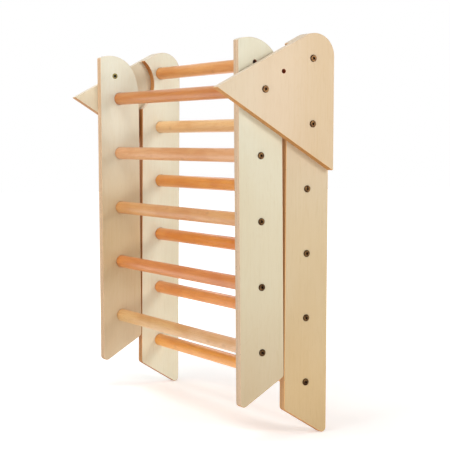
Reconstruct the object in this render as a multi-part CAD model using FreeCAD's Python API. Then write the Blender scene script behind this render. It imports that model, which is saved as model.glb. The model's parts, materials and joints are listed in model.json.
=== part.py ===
"""Folding climbing triangle with eleven rungs to climb and hang from, in its folded position.

Two ladder frames of plywood boards and round beech rungs stand one behind the other. A triangular
plate on each outer side is bolted to the rear frame, and the front frame turns on a bolt through
each plate, so the ladders fold flat together or open into a tent that stands on its foot cuts.

Millimetres. X runs across the frames, Y from the front frame to the rear one, Z up. Sections are
drawn in the YZ plane with the hinge axis at zero. move_to_frame then puts the origin at the centre
of the underside of the bounding box.
"""
import FreeCAD
import Part
import math
import os

# Boards, rungs and plates
BOARD_THICKNESS = 21.0
BOARD_WIDTH = 112.0
RUNG_RADIUS = 16.0
RUNG_PITCH = 145.0
FRONT_RUNGS = 5
REAR_RUNGS = 6
CLEAR_WIDTH = 714.0            # between the inner faces of the rear boards
FRAME_GAP = 11.0               # between the two frames' boards, at the hinge
EDGE_ROUND = 2.0
SOCKET_DEPTH = 8.0
SOCKET_CLEARANCE = 0.6
SIDE_GAP = 0.5                 # between a plate and the front board beside it

# Opening
LEAN = 31.0                    # each frame's lean when the triangle is open
FOLD_TILT = 0.93               # the front frame leans back this far onto the rear one
FOOT_DISTANCE = 576.0          # hinge axis to the line of a foot cut
FOOT_RADIUS = 10.0

# Front board's top: a top arc that runs into a wider side arc
TOP_ARC = (-27.0, 37.0, 77.0)  # centre y, centre z, radius
SIDE_ARC_RADIUS = 150.0
TOP_CORNER_RADIUS = 4.0
NOTCH_CLEARANCE = 3.5
NOTCH_CORNER_RADIUS = 3.0

# Plate
PLATE_THICKNESS = 21.0
PLATE_FRONT_MARGIN = 58.0      # hinge axis to the plate's upper front edge
PLATE_BOTTOM_MARGIN = 61.0     # hinge axis to the plate's bottom edge
PLATE_TOP_RADIUS = 50.0
PLATE_TIP_RADIUS = 2.0
LOCK_RADIUS = 61.5             # hinge axis to the lock holes
LOCK_ANGLE = 41.0              # of the plate's lock hole, above +Y
LOCK_HOLE_RADIUS = 5.0

# Hardware: M8 furniture bolts in threaded inserts
BOLT_RADIUS = 4.0
BOLT_HOLE_RADIUS = 4.25
PIVOT_CLEARANCE = 0.05
THREAD_REACH = 22.0            # of a bolt into its insert
HEAD_RADIUS = 7.9
HEAD_HEIGHT = 2.2
HEAD_BEVEL = 1.0
PIVOT_HEAD_GAP = 0.3           # between a pivot bolt's head and the plate that turns under it
HEX_ACROSS_FLATS = 6.0
HEX_DEPTH = 4.5
INSERT_RADIUS = 6.0
INSERT_LENGTH = 25.0
INSERT_CLEARANCE = 0.1
LOCK_INSERT_RADIUS = 5.75      # flanged insert in a front board's inner face, for the lock bolt
LOCK_INSERT_LENGTH = 14.0
LOCK_THREAD_RADIUS = 4.1
FLANGE_RADIUS = 7.4
FLANGE_THICKNESS = 1.2

HALF_BOARD = BOARD_WIDTH / 2
REAR_FRONT_EDGE = HALF_BOARD + FRAME_GAP
REAR_BACK_EDGE = REAR_FRONT_EDGE + BOARD_WIDTH
REAR_RUNG_Y = REAR_FRONT_EDGE + HALF_BOARD
LEAN_SLOPE = math.tan(math.radians(LEAN))
LEAN_COS = math.cos(math.radians(LEAN))
LEAN_SIN = math.sin(math.radians(LEAN))
OPEN_ANGLE = 2 * LEAN
OPEN_COS = math.cos(math.radians(OPEN_ANGLE))
OPEN_SIN = math.sin(math.radians(OPEN_ANGLE))
# The second rear rung stands as high over the plate's bottom edge as the hinge does.
SECOND_REAR_RUNG_Z = -REAR_RUNG_Y * LEAN_SLOPE
TOP_REAR_RUNG_Z = SECOND_REAR_RUNG_Z + RUNG_PITCH

REAR_INNER_X = CLEAR_WIDTH / 2
REAR_OUTER_X = REAR_INNER_X + BOARD_THICKNESS
PLATE_OUTER_X = REAR_OUTER_X + PLATE_THICKNESS
FRONT_OUTER_X = REAR_OUTER_X - SIDE_GAP
FRONT_INNER_X = FRONT_OUTER_X - BOARD_THICKNESS

X_AXIS = FreeCAD.Vector(1, 0, 0)
HINGE = FreeCAD.Vector(0, 0, 0)
FAR = 2000.0


def front_rung_places():
    return [(0.0, -i * RUNG_PITCH) for i in range(FRONT_RUNGS)]


def rear_rung_places():
    return [(REAR_RUNG_Y, TOP_REAR_RUNG_Z - i * RUNG_PITCH) for i in range(REAR_RUNGS)]


def at(y, z):
    return FreeCAD.Vector(0, y, z)


def arc(centre, radius, start, end):
    """Arc in the YZ plane between two directions in degrees, counted from +Y towards +Z."""
    points = []
    for angle in (start, (start + end) / 2, end):
        turn = math.radians(angle)
        points.append(centre + at(radius * math.cos(turn), radius * math.sin(turn)))
    return Part.Arc(*points).toShape()


def rounded_outline(corners):
    """Closed wire through (y, z, radius) corners, each rounded by a tangent arc of its radius."""
    places = [at(y, z) for y, z, radius in corners]
    edges = []
    last_end = None
    first_start = None
    for i, (y, z, radius) in enumerate(corners):
        here = places[i]
        back = (places[i - 1] - here).normalize()
        ahead = (places[(i + 1) % len(places)] - here).normalize()
        start = end = here
        rounding = None
        if radius > 0:
            half = back.getAngle(ahead) / 2
            start = here + back * (radius / math.tan(half))
            end = here + ahead * (radius / math.tan(half))
            middle = (back + ahead).normalize() * (radius / math.sin(half) - radius)
            rounding = Part.Arc(start, here + middle, end).toShape()
        if last_end is None:
            first_start = start
        else:
            edges.append(Part.makeLine(last_end, start))
        if rounding:
            edges.append(rounding)
        last_end = end
    edges.append(Part.makeLine(last_end, first_start))
    return Part.Wire(edges)


def prism(wire, x_low, x_high):
    """The flat outline, drawn at x = 0, as a solid between two x values."""
    solid = Part.Face(wire).extrude(X_AXIS * (x_high - x_low))
    solid.translate(X_AXIS * x_low)
    return solid


def cylinder(radius, x_low, x_high, y, z):
    return Part.makeCylinder(radius, x_high - x_low, FreeCAD.Vector(x_low, y, z), X_AXIS)


def mirrored(solid):
    return solid.mirror(HINGE, X_AXIS)


def turned(solid, degrees):
    """Turned about the hinge axis, so that a positive angle swings the lower end forward."""
    copy = solid.copy()
    copy.rotate(HINGE, X_AXIS, -degrees)
    return copy


def softened(solid, x_low, x_high):
    """The outline's edges on both flat faces, rounded over."""
    edges = []
    for edge in solid.Edges:
        ends = [vertex.X for vertex in edge.Vertexes]
        if any(all(abs(x - face) < 0.01 for x in ends) for face in (x_low, x_high)):
            edges.append(edge)
    return solid.makeFillet(EDGE_ROUND, edges)


def foot_z(y, side):
    """Height of a foot cut at y. Side is -1 on the front frame and +1 on the rear one."""
    return (-FOOT_DISTANCE - side * LEAN_SIN * y) / LEAN_COS


def plate_top_z(y):
    """Height of the plate's upper front edge, which the top of the rear board follows.
    The edge is parallel to the front boards when the triangle is open."""
    return (PLATE_FRONT_MARGIN + OPEN_COS * y) / OPEN_SIN


def plate_bottom_z(y):
    """Height of the plate's bottom edge, which is level when the triangle is open."""
    return (-PLATE_BOTTOM_MARGIN - LEAN_SIN * y) / LEAN_COS


def front_top_region(grow):
    """Everything under the front board's top arcs, with the arcs' radii made larger by grow."""
    top_y, top_z, top_radius = TOP_ARC
    side_y = HALF_BOARD - SIDE_ARC_RADIUS
    between = SIDE_ARC_RADIUS - top_radius
    side_z = top_z - math.sqrt(between ** 2 - (top_y - side_y) ** 2)
    join = math.degrees(math.atan2(top_z - side_z, top_y - side_y))
    top = arc(at(top_y, top_z), top_radius + grow, 180, join)
    side = arc(at(side_y, side_z), SIDE_ARC_RADIUS + grow, join, 0)
    left = top_y - top_radius - grow
    right = HALF_BOARD + grow
    base = -FAR
    lines = [
        Part.makeLine(at(right, side_z), at(right, base)),
        Part.makeLine(at(right, base), at(left, base)),
        Part.makeLine(at(left, base), at(left, top_z)),
    ]
    return Part.Wire([top, side] + lines)


def front_board():
    low, high = FRONT_INNER_X, FRONT_OUTER_X
    outline = rounded_outline([
        (-HALF_BOARD, FAR, 0),
        (HALF_BOARD, FAR, 0),
        (HALF_BOARD, foot_z(HALF_BOARD, -1), FOOT_RADIUS),
        (-HALF_BOARD, foot_z(-HALF_BOARD, -1), FOOT_RADIUS),
    ])
    blank = prism(outline, low, high).common(prism(front_top_region(0), low, high))
    corners = [e for e in through_edges(blank) if e.Vertexes[0].Y < 0 < e.Vertexes[0].Z]
    board = softened(blank.makeFillet(TOP_CORNER_RADIUS, corners), low, high)
    for y, z in front_rung_places():
        board = board.cut(rung_socket(low, high, y, z))
    y, z = lock_place(LOCK_ANGLE + OPEN_ANGLE)
    board = board.cut(cylinder(LOCK_HOLE_RADIUS, low - 1, high + 1, y, z))
    return board.cut(lock_insert_body(INSERT_CLEARANCE))


def through_edges(board):
    """The edges that run through a board's thickness."""
    return [e for e in board.Edges if abs(e.Vertexes[0].X - e.Vertexes[-1].X) > BOARD_THICKNESS / 2]


def rear_outline():
    """Rear board before the front board's notch is cut, and the back of the plate above it."""
    return rounded_outline([
        (REAR_FRONT_EDGE, plate_top_z(REAR_FRONT_EDGE), 0),
        (REAR_BACK_EDGE, plate_top_z(REAR_BACK_EDGE), PLATE_TOP_RADIUS),
        (REAR_BACK_EDGE, foot_z(REAR_BACK_EDGE, 1), FOOT_RADIUS),
        (REAR_FRONT_EDGE, foot_z(REAR_FRONT_EDGE, 1), FOOT_RADIUS),
    ])


def rear_board():
    low, high = REAR_INNER_X, REAR_OUTER_X
    blank = prism(rear_outline(), low, high)
    notch = turned(prism(front_top_region(NOTCH_CLEARANCE), low - 1, high + 1), OPEN_ANGLE)
    blank = blank.cut(notch)
    corners = [e for e in through_edges(blank) if is_notch_corner(e.Vertexes[0])]
    board = softened(blank.makeFillet(NOTCH_CORNER_RADIUS, corners), low, high)
    for y, z in rear_rung_places():
        board = board.cut(rung_socket(low, high, y, z))
    return board


def is_notch_corner(point):
    """True where the notch meets the board's front edge and its top edge."""
    near_front = point.Y < REAR_FRONT_EDGE + 5
    return near_front and point.Z > -RUNG_PITCH


def rung_socket(low, high, y, z):
    """What is cut from a board for one rung end and its bolt."""
    socket = cylinder(RUNG_RADIUS + SOCKET_CLEARANCE, low - 1, low + SOCKET_DEPTH, y, z)
    return socket.fuse(cylinder(BOLT_HOLE_RADIUS, low, high + 1, y, z))


def plate():
    low, high = REAR_OUTER_X, PLATE_OUTER_X
    tip_y = -(PLATE_FRONT_MARGIN * LEAN_COS + PLATE_BOTTOM_MARGIN * OPEN_SIN) / LEAN_COS
    outline = rounded_outline([
        (tip_y, plate_top_z(tip_y), PLATE_TIP_RADIUS),
        (REAR_BACK_EDGE, plate_top_z(REAR_BACK_EDGE), PLATE_TOP_RADIUS),
        (REAR_BACK_EDGE, plate_bottom_z(REAR_BACK_EDGE), PLATE_TIP_RADIUS),
    ])
    board = softened(prism(outline, low, high), low, high)
    for y, z in plate_bolt_places():
        board = board.cut(cylinder(BOLT_HOLE_RADIUS, low - 1, high + 1, y, z))
    board = board.cut(cylinder(BOLT_RADIUS + PIVOT_CLEARANCE, low - 1, high + 1, 0, 0))
    y, z = lock_place(LOCK_ANGLE)
    return board.cut(cylinder(LOCK_HOLE_RADIUS, low - 1, high + 1, y, z))


def lock_place(angle):
    """Axis of a lock hole. The plate's and the front board's meet when the triangle is open."""
    turn = math.radians(angle)
    return LOCK_RADIUS * math.cos(turn), LOCK_RADIUS * math.sin(turn)


def plate_bolt_places():
    return rear_rung_places()[:2]


def rung(inner_x, y, z):
    """A dowel from socket to socket, bored at each end for its threaded insert."""
    half = inner_x + SOCKET_DEPTH
    dowel = cylinder(RUNG_RADIUS, -half, half, y, z)
    for low, high in ((half - INSERT_LENGTH, half + 1), (-half - 1, INSERT_LENGTH - half)):
        dowel = dowel.cut(cylinder(INSERT_RADIUS + INSERT_CLEARANCE, low, high, y, z))
    return dowel


def insert(inner_x, y, z):
    """Steel sleeve in a rung's end, its thread drawn as a plain bore."""
    high = inner_x + SOCKET_DEPTH
    low = high - INSERT_LENGTH
    sleeve = cylinder(INSERT_RADIUS, low, high, y, z)
    return sleeve.cut(cylinder(BOLT_RADIUS + INSERT_CLEARANCE, low - 1, high + 1, y, z))


def lock_insert_body(grow):
    """The outside of a lock insert, flange flush with the board's inner face."""
    y, z = lock_place(LOCK_ANGLE + OPEN_ANGLE)
    low = FRONT_INNER_X
    body = cylinder(LOCK_INSERT_RADIUS + grow, low, low + LOCK_INSERT_LENGTH + grow, y, z)
    return body.fuse(cylinder(FLANGE_RADIUS + grow, low, low + FLANGE_THICKNESS, y, z)).removeSplitter()


def lock_insert():
    y, z = lock_place(LOCK_ANGLE + OPEN_ANGLE)
    low = FRONT_INNER_X - 1
    return lock_insert_body(0).cut(cylinder(LOCK_THREAD_RADIUS, low, low + LOCK_INSERT_LENGTH + 2, y, z))


def bolt(head_base_x, rung_end_x, y, z):
    """Furniture bolt along X: a flat round head with a hexagon socket, and a plain shank."""
    head = cylinder(HEAD_RADIUS, head_base_x, head_base_x + HEAD_HEIGHT, y, z)
    rim = [e for e in head.Edges if min(v.X for v in e.Vertexes) > head_base_x + HEAD_HEIGHT / 2]
    head = head.makeChamfer(HEAD_BEVEL, rim)
    shank = cylinder(BOLT_RADIUS, rung_end_x - THREAD_REACH, head_base_x + HEAD_BEVEL, y, z)
    top = head_base_x + HEAD_HEIGHT
    reach = HEX_ACROSS_FLATS / math.sqrt(3)
    corners = []
    for i in range(6):
        turn = math.radians(60 * i)
        corners.append((y + reach * math.cos(turn), z + reach * math.sin(turn), 0))
    return head.fuse(shank).cut(prism(rounded_outline(corners), top - HEX_DEPTH, top + 1)).removeSplitter()


def both_sides(solids):
    return Part.makeCompound(solids + [mirrored(s) for s in solids])


def front_frame():
    """Every node that turns on the hinge, drawn parallel to the rear frame."""
    board = front_board()
    places = front_rung_places()
    rung_end = FRONT_INNER_X + SOCKET_DEPTH
    pivot_base = PLATE_OUTER_X + PIVOT_HEAD_GAP
    nodes = {"front_board_right": board, "front_board_left": mirrored(board)}
    for i, (y, z) in enumerate(places):
        nodes[f"front_rung_{i + 1}"] = rung(FRONT_INNER_X, y, z)
    nodes["front_rung_inserts"] = both_sides([insert(FRONT_INNER_X, y, z) for y, z in places])
    nodes["front_rung_bolts"] = both_sides(
        [bolt(FRONT_OUTER_X, rung_end, y, z) for y, z in places[1:]])
    nodes["pivot_bolts"] = both_sides([bolt(pivot_base, rung_end, 0, 0)])
    nodes["lock_inserts"] = both_sides([lock_insert()])
    return nodes


def rear_frame():
    """Every node that stays with the plates."""
    board = rear_board()
    side_plate = plate()
    places = rear_rung_places()
    rung_end = REAR_INNER_X + SOCKET_DEPTH
    nodes = {"rear_board_right": board, "rear_board_left": mirrored(board)}
    nodes["plate_right"] = side_plate
    nodes["plate_left"] = mirrored(side_plate)
    for i, (y, z) in enumerate(places):
        nodes[f"rear_rung_{i + 1}"] = rung(REAR_INNER_X, y, z)
    nodes["rear_rung_inserts"] = both_sides([insert(REAR_INNER_X, y, z) for y, z in places])
    nodes["rear_rung_bolts"] = both_sides(
        [bolt(REAR_OUTER_X, rung_end, y, z) for y, z in places[2:]])
    nodes["plate_bolts"] = both_sides(
        [bolt(PLATE_OUTER_X, rung_end, y, z) for y, z in plate_bolt_places()])
    return nodes


def move_to_frame(nodes):
    """Moves every node so that the origin is the bottom centre of the whole object's box."""
    box = Part.makeCompound([nodes["plate_right"], nodes["rear_board_right"]]).optimalBoundingBox(False)
    shift = at(-(box.YMin + box.YMax) / 2, -box.ZMin)
    for solid in nodes.values():
        solid.translate(shift)
    return shift


def main():
    nodes = rear_frame()
    for name, solid in front_frame().items():
        nodes[name] = turned(solid, -FOLD_TILT)
    shift = move_to_frame(nodes)
    os.makedirs("parts", exist_ok=True)
    for name, solid in sorted(nodes.items()):
        if not solid.isValid() or solid.Volume <= 0:
            raise RuntimeError(f"{name} is not a valid solid")
        solid.exportStep(f"parts/{name}.step")
        print(f"{name}: {len(solid.Solids)} solid(s), {solid.Volume / 1e6:.4f} litres")
    print(f"hinge axis at y {shift.y:.4f}, z {shift.z:.4f}")


main()
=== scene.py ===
import json
import math
import random

import bpy
from mathutils import Matrix, Vector


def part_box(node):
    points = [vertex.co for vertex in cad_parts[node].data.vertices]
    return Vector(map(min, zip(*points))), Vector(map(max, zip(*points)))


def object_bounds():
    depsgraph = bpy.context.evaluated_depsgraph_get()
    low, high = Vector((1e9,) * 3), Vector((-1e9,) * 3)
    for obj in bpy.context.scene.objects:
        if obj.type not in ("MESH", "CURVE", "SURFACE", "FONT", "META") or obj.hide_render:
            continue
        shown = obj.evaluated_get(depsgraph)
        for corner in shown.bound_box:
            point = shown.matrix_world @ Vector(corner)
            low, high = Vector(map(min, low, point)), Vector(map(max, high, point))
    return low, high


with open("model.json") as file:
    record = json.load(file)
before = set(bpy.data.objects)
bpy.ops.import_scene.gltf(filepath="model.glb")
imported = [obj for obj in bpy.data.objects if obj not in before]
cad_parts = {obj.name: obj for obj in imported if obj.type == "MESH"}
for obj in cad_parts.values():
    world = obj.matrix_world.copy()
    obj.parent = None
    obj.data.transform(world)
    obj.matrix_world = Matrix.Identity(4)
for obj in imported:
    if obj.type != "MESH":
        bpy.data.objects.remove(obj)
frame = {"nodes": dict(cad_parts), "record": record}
cad_low, cad_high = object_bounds()
nodes = frame["nodes"]
record = frame["record"]
mounts = {mount["name"]: mount for mount in record["mounts"]}
pivot = Vector(record["behaviour"]["joints"][0]["pos_m"])
centre = (Vector(cad_low) + Vector(cad_high)) / 2

# Sizes, in metres
PLY_PAIR = 0.0028              # one long-grain and one cross-grain layer
PLY_WAVE = 0.0005              # a layer's wander, from side to side
LOCK_HOLE_RADIUS = 0.005
HOLE_BLUR = 0.0006             # over which a hole's dark wall fades into the face

# Linear colours, and factors on a colour
WHITE = (1.0, 1.0, 1.0, 1.0)
# Painted light: the paler colour laid on edges that face up
PAINTED_LIGHT_ON_TOP = (0.93, 0.90, 0.80, 1.0)
VENEER_DEEP = (0.92, 0.85, 0.74, 1.0)
VENEER_PORE = (0.74, 0.70, 0.66, 1.0)
# Painted shade: the factor that deepens edges that face down
PAINTED_SHADE_BELOW = (0.76, 0.59, 0.36, 1.0)
BEECH_DEEP = (0.82, 0.62, 0.46)
BEECH_PALE = (1.10, 1.22, 1.36)
BEECH_ROSE = (1.02, 1.04, 1.36)

# Display colours, 0 to 255
# The dark wall inside a drilled hole: partly drilling char and partly painted shade
HOLE_CHAR_AND_SHADE = (172, 92, 56)
# A board's top, middle and foot, or a plate's back, middle and tip, and then its edges
# On the boards the drift from top to foot is partly the wood's own tone and partly painted shade where
# less light reaches. The front left board's middle is darker as painted shadow of the rungs, and the rear
# boards' edge tones are deeper as painted shade in the gaps between the boards.
BOARD_TONES_WITH_SHADE = {
    "front_board_left": ((230, 229, 212), (203, 181, 141), (214, 195, 164), (226, 188, 148)),
    "front_board_right": ((214, 210, 189), (208, 196, 167), (201, 181, 148), (223, 191, 157)),
    "rear_board_left": ((228, 224, 203), (230, 228, 205), (234, 230, 206), (214, 150, 86)),
    "rear_board_right": ((203, 185, 159), (203, 181, 144), (206, 177, 131), (224, 172, 114)),
    "plate_left": ((224, 216, 192), (222, 212, 186), (233, 225, 200), (218, 172, 120)),
    "plate_right": ((204, 179, 144), (210, 187, 157), (210, 191, 163), (220, 174, 120)),
}
# The axis that those tones follow, and where along it the foot or tip, the middle, and the top or back lie
BOARD_DRIFT = ("Z", 0.05, 0.38, 0.80)
PLATE_DRIFT = ("Y", -0.11, 0.0, 0.12)
# Each rung's own colour, and how far it drifts to pink here and there along the rung
RUNG_TONES = {
    "front_rung_1": ((202, 128, 56), 0.5),
    "front_rung_2": ((220, 162, 105), 0.7),
    "front_rung_3": ((216, 158, 95), 0.7),
    "front_rung_4": ((218, 136, 65), 0.5),
    "front_rung_5": ((225, 178, 116), 1.0),
    "rear_rung_1": ((225, 155, 79), 0.3),
    "rear_rung_2": ((234, 189, 126), 0.3),
    "rear_rung_3": ((235, 159, 66), 0.1),
    "rear_rung_4": ((238, 152, 56), 0.1),
    "rear_rung_5": ((248, 169, 88), 0.1),
    "rear_rung_6": ((251, 176, 80), 0.2),
}
# Dark and light patches of a metal, also left dark as painted shade on a bolt's bevel and hexagon, and
# then those of a bolt's head, paler as wear and painted highlight, or an insert's bore, dark as painted
# shade
BOLT_TONES = ((48, 31, 20), (80, 53, 31), (62, 42, 29), (112, 83, 52))
RUNG_INSERT_TONES = ((168, 164, 150), (204, 200, 188), (110, 106, 96))
LOCK_INSERT_TONES = ((92, 84, 46), (142, 130, 84), (34, 26, 14))

# First seed of each kind of piece. The pieces after it count on from there.
BOARD_SEED = 11
RUNG_SEED = 41
BOLT_SEED = 71


def linear(red, green, blue):
    """A display colour as the linear colour that Blender works in."""
    def decoded(value):
        value /= 255
        return value / 12.92 if value <= 0.04045 else ((value + 0.055) / 1.055) ** 2.4
    return (decoded(red), decoded(green), decoded(blue), 1.0)


def tinted(colour, factors):
    """A colour times one factor for each channel, at most full brightness."""
    return tuple(min(1.0, part * factor) for part, factor in zip(colour, factors)) + (1.0,)


def scaled(colour, factor):
    return tinted(colour, (factor, factor, factor))


class Graph:
    """Short names for the shader nodes of one material. The seed shifts its noise, so that no two
    pieces match."""

    def __init__(self, name, seed=None):
        self.material = bpy.data.materials.new(name)
        self.material.use_nodes = True
        self.tree = self.material.node_tree
        self.shader = self.tree.nodes["Principled BSDF"]
        self.shift = (0.0, 0.0, 0.0)
        if seed is not None:
            pick = random.Random(seed)
            self.shift = tuple(pick.uniform(-5, 5) for _ in range(3))

    def node(self, kind, inputs=None, **settings):
        made = self.tree.nodes.new(kind)
        for key, value in settings.items():
            setattr(made, key, value)
        for key, value in (inputs or {}).items():
            self.put(made.inputs[key], value)
        return made

    def put(self, socket, value):
        if isinstance(value, bpy.types.NodeSocket):
            self.tree.links.new(value, socket)
        else:
            socket.default_value = value

    def set(self, **values):
        """Sets the shader's own sockets, named with _ for each space."""
        for key, value in values.items():
            self.put(self.shader.inputs[key.replace("_", " ")], value)

    def math(self, operation, *values):
        return self.node("ShaderNodeMath", dict(enumerate(values)), operation=operation).outputs[0]

    def add(self, a, b):
        return self.math("ADD", a, b)

    def subtract(self, a, b):
        return self.math("SUBTRACT", a, b)

    def multiply(self, a, b):
        return self.math("MULTIPLY", a, b)

    def absolute(self, value):
        return self.math("ABSOLUTE", value)

    def bands(self, value, count):
        """Folds a value into bands: 0 in the middle of each, and 0.5 at its ends."""
        return self.absolute(self.subtract(self.math("FRACT", self.multiply(value, count)), 0.5))

    def range(self, value, low, high, to_low=0.0, to_high=1.0, smooth=True):
        made = self.node("ShaderNodeMapRange", {"Value": value, "From Min": low, "From Max": high,
                                                "To Min": to_low, "To Max": to_high})
        made.interpolation_type = "SMOOTHSTEP" if smooth else "LINEAR"
        return made.outputs["Result"]

    def axes(self, output):
        """X, Y and Z of a point, with "Object", or of the way its surface faces, with "Normal"."""
        texture = self.node("ShaderNodeTexCoord")
        return self.node("ShaderNodeSeparateXYZ", {"Vector": texture.outputs[output]}).outputs

    def coordinates(self, scale):
        texture = self.node("ShaderNodeTexCoord")
        mapping = self.node("ShaderNodeMapping", {"Vector": texture.outputs["Object"],
                                                  "Location": self.shift, "Scale": scale})
        return mapping.outputs["Vector"]

    def noise(self, stretch, detail, roughness, distortion=0.0, scale=1.0):
        """Noise with about so many features to the metre along X, Y and Z, times the scale."""
        made = self.node("ShaderNodeTexNoise", {"Vector": self.coordinates(stretch), "Scale": scale,
                                                "Detail": detail, "Roughness": roughness,
                                                "Distortion": distortion})
        return made.outputs["Fac"]

    def mix(self, factor, a, b, blend="MIX"):
        made = self.node("ShaderNodeMix", data_type="RGBA", blend_type=blend)
        self.put(made.inputs[0], factor)
        self.put(made.inputs[6], a)
        self.put(made.inputs[7], b)
        return made.outputs[2]

    def over(self, colour, top, mask, strength):
        """Lays the top colour over the first where the mask is 1, at the given strength."""
        return self.mix(self.multiply(mask, strength), colour, top)

    def times(self, colour, factors):
        return self.mix(1.0, colour, factors, "MULTIPLY")

    def ramp(self, value, stops):
        made = self.node("ShaderNodeValToRGB", {"Fac": value})
        elements = made.color_ramp.elements
        while len(elements) < len(stops):
            elements.new(0.5)
        for element, (place, colour) in zip(elements, stops):
            element.position = place
            element.color = colour
        return made.outputs["Color"]

    def bump(self, height, strength, distance, below=None):
        made = self.node("ShaderNodeBump", {"Height": height, "Strength": strength, "Distance": distance})
        if below is not None:
            self.put(made.inputs["Normal"], below)
        return made.outputs["Normal"]


def veneer(g, tone, streaks, pores):
    """A board's flat face: cathedral figure, fine streaks, short pores and faint cloudiness."""
    wide = g.noise((1.0, 9.0, 1.6), 3.0, 0.5, distortion=1.4, scale=2.2)
    figure = g.bands(wide, 9.0)
    clouds = g.noise((3.0, 7.0, 3.0), 3.0, 0.5)
    deep = g.times(tone, VENEER_DEEP)
    colour = g.over(tone, deep, g.range(clouds, 0.35, 0.70), 0.45)
    colour = g.over(colour, deep, g.range(figure, 0.30, 0.5), 0.16)
    colour = g.over(colour, deep, g.range(streaks, 0.45, 0.75), 0.28)
    return g.over(colour, g.times(deep, VENEER_PORE), pores, 0.22)


def ply_layers(g, counted, edge):
    """A board's cut edge: pairs of layers that differ in darkness, glue lines and end-grain dots."""
    stripes = g.ramp(g.math("FRACT", counted), [
        (0.00, scaled(edge, 0.60)), (0.08, scaled(edge, 1.06)), (0.46, scaled(edge, 1.12)),
        (0.53, scaled(edge, 0.66)), (0.60, scaled(edge, 0.84)), (0.94, scaled(edge, 0.80)),
        (1.00, scaled(edge, 0.60))])
    grain = g.noise((700.0, 160.0, 160.0), 3.0, 0.6)
    dots = g.noise((500.0, 260.0, 260.0), 1.0, 0.5)
    colour = g.over(stripes, scaled(edge, 0.55), g.range(grain, 0.4, 0.7), 0.22)
    colour = g.over(colour, scaled(edge, 0.28), g.range(dots, 0.66, 0.76), 0.55)
    # Each pair of layers is a little darker or paler than the next, as if from another log.
    number = g.add(g.math("FLOOR", counted), g.shift[0])
    log = g.node("ShaderNodeTexWhiteNoise", {"W": number}, noise_dimensions="1D")
    return g.times(colour, g.range(log.outputs["Value"], 0.0, 1.0, 0.84, 1.10, smooth=False))


def plywood(name, seed, tones, drift, layers_from, holes):
    """Lacquered birch plywood: veneer on the faces, which look along X, and layers on every edge.
    The veneer's colour drifts between three tones along an axis, on the boards partly as painted shade.
    Drilled holes are painted darker inside, partly as drilling char and partly as painted shade."""
    high, middle, low, edge = (linear(*tone) for tone in tones)
    axis, low_end, halfway, high_end = drift
    g = Graph(name, seed)
    place = g.axes("Object")
    normal = g.axes("Normal")
    facing = g.absolute(normal["X"])
    on_face = g.range(facing, 0.86, 0.93)
    on_edge = g.subtract(1.0, on_face)
    # The drift between the tones is partly the wood's own tone and partly painted shade.
    tone = g.mix(g.range(place[axis], low_end, halfway), low, middle)
    tone = g.mix(g.range(place[axis], halfway, high_end), tone, high)
    streaks = g.noise((40.0, 260.0, 5.0), 5.0, 0.65)
    pores = g.range(g.noise((300.0, 900.0, 26.0), 2.0, 0.5), 0.60, 0.72)

    # Layers are counted from the board's inner face, and are slightly wavy.
    depth = g.subtract(g.absolute(place["X"]), layers_from)
    wave = g.subtract(g.noise((0.0, 22.0, 22.0), 2.0, 0.5), 0.5)
    counted = g.math("DIVIDE", g.add(depth, g.multiply(wave, PLY_WAVE)), PLY_PAIR)
    layered = ply_layers(g, counted, edge)
    # Edges that face up are painted paler, as painted light from above. Those that face down are painted
    # deeper, as painted shade.
    layered = g.over(layered, g.mix(0.45, tone, PAINTED_LIGHT_ON_TOP), g.range(normal["Z"], 0.15, 0.70), 0.80)
    layered = g.times(layered, g.mix(g.range(normal["Z"], -0.15, -0.70), WHITE, PAINTED_SHADE_BELOW))

    colour = g.mix(on_face, layered, veneer(g, tone, streaks, pores))
    # Rounded-over arrises are handled and rubbed, so they are a little deeper and glossier.
    rubbed = g.multiply(g.range(facing, 0.12, 0.45), g.range(facing, 0.99, 0.90))
    colour = g.over(colour, scaled(edge, 0.90), rubbed, 0.10)
    # Each hole is painted dark inside, partly as drilling char and partly as painted shade.
    for y, z, radius in holes:
        across = g.subtract(place["Y"], y)
        above = g.subtract(place["Z"], z)
        away = g.math("SQRT", g.add(g.multiply(across, across), g.multiply(above, above)))
        colour = g.mix(g.range(away, radius + HOLE_BLUR, radius), colour, linear(*HOLE_CHAR_AND_SHADE))

    rough = g.add(g.range(streaks, 0.3, 0.8, 0.42, 0.56), g.multiply(on_edge, 0.12))
    fine = g.bump(g.subtract(streaks, pores), 0.25, 0.0002)
    glue_lines = g.multiply(on_edge, g.range(g.math("FRACT", counted), 0.0, 0.12))
    g.set(Base_Color=colour, Roughness=g.subtract(rough, g.multiply(rubbed, 0.10)),
          Specular_IOR_Level=0.35, Coat_Weight=0.06, Coat_Roughness=0.35,
          Normal=g.bump(glue_lines, 0.30, 0.00015, fine))
    return g.material


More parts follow.
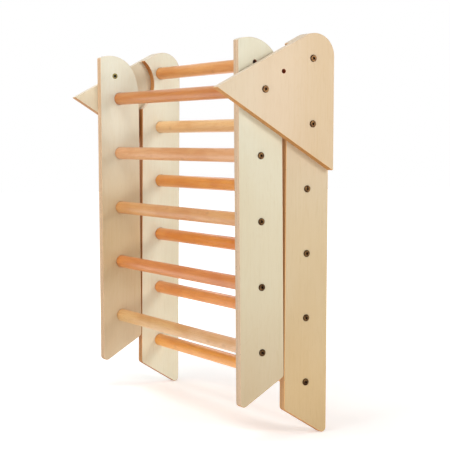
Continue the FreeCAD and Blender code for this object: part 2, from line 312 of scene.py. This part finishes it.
def beech(name, seed, tone, pink):
    """Turned beech: grain along the rung, short flecks, soft blotches under a satin lacquer."""
    g = Graph(name, seed)
    base = linear(*tone)
    deep = tinted(base, BEECH_DEEP)
    pale = tinted(base, BEECH_PALE)
    rose = tinted(base, BEECH_ROSE)

    grain = g.noise((9.0, 190.0, 190.0), 5.0, 0.62, distortion=0.4)
    figure = g.noise((2.6, 34.0, 34.0), 3.0, 0.5, distortion=1.6)
    blotches = g.noise((7.0, 16.0, 16.0), 2.0, 0.5)
    drift = g.noise((2.2, 2.0, 2.0), 2.0, 0.5)
    flecks = g.range(g.noise((210.0, 1100.0, 1100.0), 1.0, 0.5), 0.64, 0.74)
    knots = g.node("ShaderNodeTexVoronoi", {"Vector": g.coordinates((11.0, 24.0, 24.0)), "Scale": 1.0})

    colour = g.mix(g.range(drift, 0.35, 0.65), base, g.mix(pink, base, rose))
    colour = g.over(colour, deep, g.range(blotches, 0.50, 0.66), 0.50)
    colour = g.over(colour, pale, g.range(blotches, 0.46, 0.30), 0.45)
    colour = g.over(colour, deep, g.range(g.bands(figure, 7.0), 0.28, 0.48), 0.30)
    colour = g.over(colour, deep, g.range(grain, 0.42, 0.72), 0.42)
    colour = g.over(colour, scaled(deep, 0.62), flecks, 0.50)
    colour = g.over(colour, scaled(deep, 0.70), g.range(knots.outputs["Distance"], 0.16, 0.05), 0.35)
    height = g.subtract(grain, g.multiply(flecks, 0.8))
    g.set(Base_Color=colour, Roughness=g.range(grain, 0.3, 0.8, 0.34, 0.50),
          Specular_IOR_Level=0.4, Coat_Weight=0.40, Coat_Roughness=0.32,
          Normal=g.bump(height, 0.25, 0.0002))
    return g.material


def bronze(name, seed):
    """Bronze-plated steel: paler on the flat of a head, partly as wear and partly as painted highlight,
    and dark on its bevel and in the hexagon as painted shade.
    """
    dark, light, wear_and_sheen_dark, wear_and_sheen_light = (linear(*tone) for tone in BOLT_TONES)
    g = Graph(name, seed)
    flat = g.range(g.absolute(g.axes("Normal")["X"]), 0.88, 0.97)
    stain = g.noise((210.0, 210.0, 210.0), 4.0, 0.6)
    brushed = g.noise((1800.0, 420.0, 1500.0), 2.0, 0.5)
    plate = g.mix(g.range(stain, 0.35, 0.7), dark, light)
    wear_and_sheen = g.mix(g.range(stain, 0.40, 0.60), wear_and_sheen_dark, wear_and_sheen_light)
    # Where the head faces along X it takes the paler tones, as wear and painted highlight. Elsewhere the
    # darker plating stands as painted shade.
    g.set(Base_Color=g.mix(flat, plate, wear_and_sheen), Metallic=1.0,
          Roughness=g.range(stain, 0.3, 0.7, 0.28, 0.46), Normal=g.bump(brushed, 0.20, 0.0001))
    return g.material


def zinc(name, tones):
    """Spangled zinc plating, painted dark inside the threaded bore, as painted shade."""
    dark, light, shaded_bore = (linear(*tone) for tone in tones)
    g = Graph(name)
    flat = g.range(g.absolute(g.axes("Normal")["X"]), 0.2, 0.5)
    spangle = g.noise((260.0, 260.0, 260.0), 3.0, 0.6)
    plated = g.mix(g.range(spangle, 0.35, 0.65), dark, light)
    # The bore's walls take the dark tone, as painted shade.
    g.set(Base_Color=g.mix(flat, shaded_bore, plated), Metallic=1.0,
          Roughness=g.range(spangle, 0.3, 0.7, 0.30, 0.48), Normal=g.bump(spangle, 0.15, 0.0001))
    return g.material


def dress(node, material):
    """Gives a CAD node its material in place of the plain one."""
    for slot in nodes[node].material_slots:
        slot.material = material


def inner_face(node):
    """Distance from the middle of the object to a board's inner face."""
    low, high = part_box(node)
    return min(abs(low[0]), abs(high[0]))


def lock_holes(node):
    """Centre and radius of the lock hole in a plate or front board. Rear boards have none."""
    side = node.split("_")[-1]
    if node.startswith("plate"):
        place = mounts[f"plate_{side}_lock_hole"]["pos_m"]
    elif node.startswith("front"):
        place = mounts[f"lock_insert_{side}"]["pos_m"]
    else:
        return []
    return [(place[1], place[2], LOCK_HOLE_RADIUS)]


for number, (node, tones) in enumerate(BOARD_TONES_WITH_SHADE.items()):
    drift = PLATE_DRIFT if node.startswith("plate") else BOARD_DRIFT
    holes = lock_holes(node)
    dress(node, plywood(f"birch_{node}", BOARD_SEED + number, tones, drift, inner_face(node), holes))
for number, (node, (tone, pink)) in enumerate(RUNG_TONES.items()):
    dress(node, beech(f"beech_{node}", RUNG_SEED + number, tone, pink))
for number, node in enumerate(("front_rung_bolts", "rear_rung_bolts", "pivot_bolts", "plate_bolts")):
    dress(node, bronze(f"bronze_{node}", BOLT_SEED + number))
insert_steel = zinc("zinc", RUNG_INSERT_TONES)
for node in ("front_rung_inserts", "rear_rung_inserts"):
    dress(node, insert_steel)
dress("lock_inserts", zinc("yellow_zinc", LOCK_INSERT_TONES))

# Floor: half its width, its linear colours, and how much it glows at a near and a far distance
FLOOR_REACH = 14.0
FLOOR_TONES = ((0.88, 0.88, 0.87, 1.0), (0.92, 0.92, 0.91, 1.0))
FLOOR_NEAR, FLOOR_FAR = 0.4, 3.2
FLOOR_GLOW_NEAR, FLOOR_GLOW_FAR = 0.38, 0.90
# Lights: place from the object's centre and size, in metres, power in watts, and linear colour
LIGHTS = {
    "key": ((2.45, 1.1, 0.8), (0.9, 0.9), 26, (1.0, 0.99, 0.97)),
    "fill": ((0.6, -2.7, 0.9), (1.6, 1.6), 12.5, (1.0, 0.99, 0.98)),
    "overhead": ((0.1, -0.9, 2.4), (1.6, 1.2), 34, (1.0, 1.0, 1.0)),
    "far_side": ((-2.5, 0.4, 0.7), (1.4, 1.4), 13, (1.0, 0.99, 0.97)),
}
# Backdrop: how strongly it lights the object, and how bright it looks to the camera
BACKDROP_LIGHT = 0.30
BACKDROP_SEEN = 1.0


def make_floor():
    """Pale, and glowing as painted light: faintly near the object and more far away, so that it meets the
    backdrop without a line.
    """
    g = Graph("floor")
    dust = g.noise((1.5, 1.5, 1.5), 3.0, 0.5)
    place = g.node("ShaderNodeTexCoord").outputs["Object"]
    away = g.node("ShaderNodeVectorMath", {0: place}, operation="LENGTH").outputs["Value"]
    glow = g.range(away, FLOOR_NEAR, FLOOR_FAR, FLOOR_GLOW_NEAR, FLOOR_GLOW_FAR)
    g.set(Base_Color=g.mix(dust, *FLOOR_TONES), Roughness=0.9,
          Emission_Color=WHITE, Emission_Strength=glow)
    corners = [(-1, -1), (1, -1), (1, 1), (-1, 1)]
    mesh = bpy.data.meshes.new("floor")
    mesh.from_pydata([(x * FLOOR_REACH, y * FLOOR_REACH, 0) for x, y in corners], [], [(0, 1, 2, 3)])
    mesh.materials.append(g.material)
    floor = bpy.data.objects.new("floor", mesh)
    bpy.context.collection.objects.link(floor)


def softbox(name, place, size, power, colour):
    """A rectangular light, which faces the object's centre."""
    data = bpy.data.lights.new(name, "AREA")
    data.shape = "RECTANGLE"
    data.size, data.size_y = size
    data.energy = power
    data.color = colour
    lamp = bpy.data.objects.new(name, data)
    lamp.location = centre + Vector(place)
    lamp.rotation_euler = (-Vector(place)).to_track_quat("-Z", "Y").to_euler()
    bpy.context.collection.objects.link(lamp)


def make_backdrop():
    """An even white world, which looks brighter to the camera than it lights the object."""
    world = bpy.data.worlds.new("studio")
    world.use_nodes = True
    tree = world.node_tree
    path = tree.nodes.new("ShaderNodeLightPath")
    strength = tree.nodes.new("ShaderNodeMapRange")
    strength.inputs["To Min"].default_value = BACKDROP_LIGHT
    strength.inputs["To Max"].default_value = BACKDROP_SEEN
    tree.links.new(path.outputs["Is Camera Ray"], strength.inputs["Value"])
    tree.links.new(strength.outputs["Result"], tree.nodes["Background"].inputs["Strength"])
    tree.nodes["Background"].inputs["Color"].default_value = WHITE
    bpy.context.scene.world = world


make_floor()
for name, (place, size, power, colour) in LIGHTS.items():
    softbox(name, place, size, power, colour)
make_backdrop()
bpy.context.scene.view_settings.view_transform = "Standard"

# Camera: from the right and the front, 0.65 m above the floor, looking slightly down
CAMERA_FROM_PIVOT = Vector((2.882, -1.485, -0.124))
YAW, PITCH, ROLL = math.radians(60.83), math.radians(-2.44), math.radians(0.34)
SENSOR_WIDTH = 36.0            # millimetres
FOCAL_LENGTHS_PER_FRAME = 2.95
FRAME_SHIFT = -0.05            # keeps the boards' edges as parallel as the photograph shows
CLIP_NEAR, CLIP_FAR = 0.05, 60.0


def make_camera():
    forward = Vector((-math.sin(YAW) * math.cos(PITCH), math.cos(YAW) * math.cos(PITCH), math.sin(PITCH)))
    level = forward.cross(Vector((0, 0, 1))).normalized()
    upright = level.cross(forward)
    right = level * math.cos(ROLL) + upright * math.sin(ROLL)
    up = upright * math.cos(ROLL) - level * math.sin(ROLL)
    data = bpy.data.cameras.new("camera")
    data.sensor_width = SENSOR_WIDTH
    data.lens = SENSOR_WIDTH * FOCAL_LENGTHS_PER_FRAME
    data.shift_y = FRAME_SHIFT
    data.clip_start = CLIP_NEAR
    data.clip_end = CLIP_FAR
    camera = bpy.data.objects.new("camera", data)
    bpy.context.collection.objects.link(camera)
    turn = Matrix((right, up, -forward)).transposed()
    camera.matrix_world = Matrix.Translation(pivot + CAMERA_FROM_PIVOT) @ turn.to_4x4()
    bpy.context.scene.camera = camera


make_camera()
bpy.context.view_layer.update()
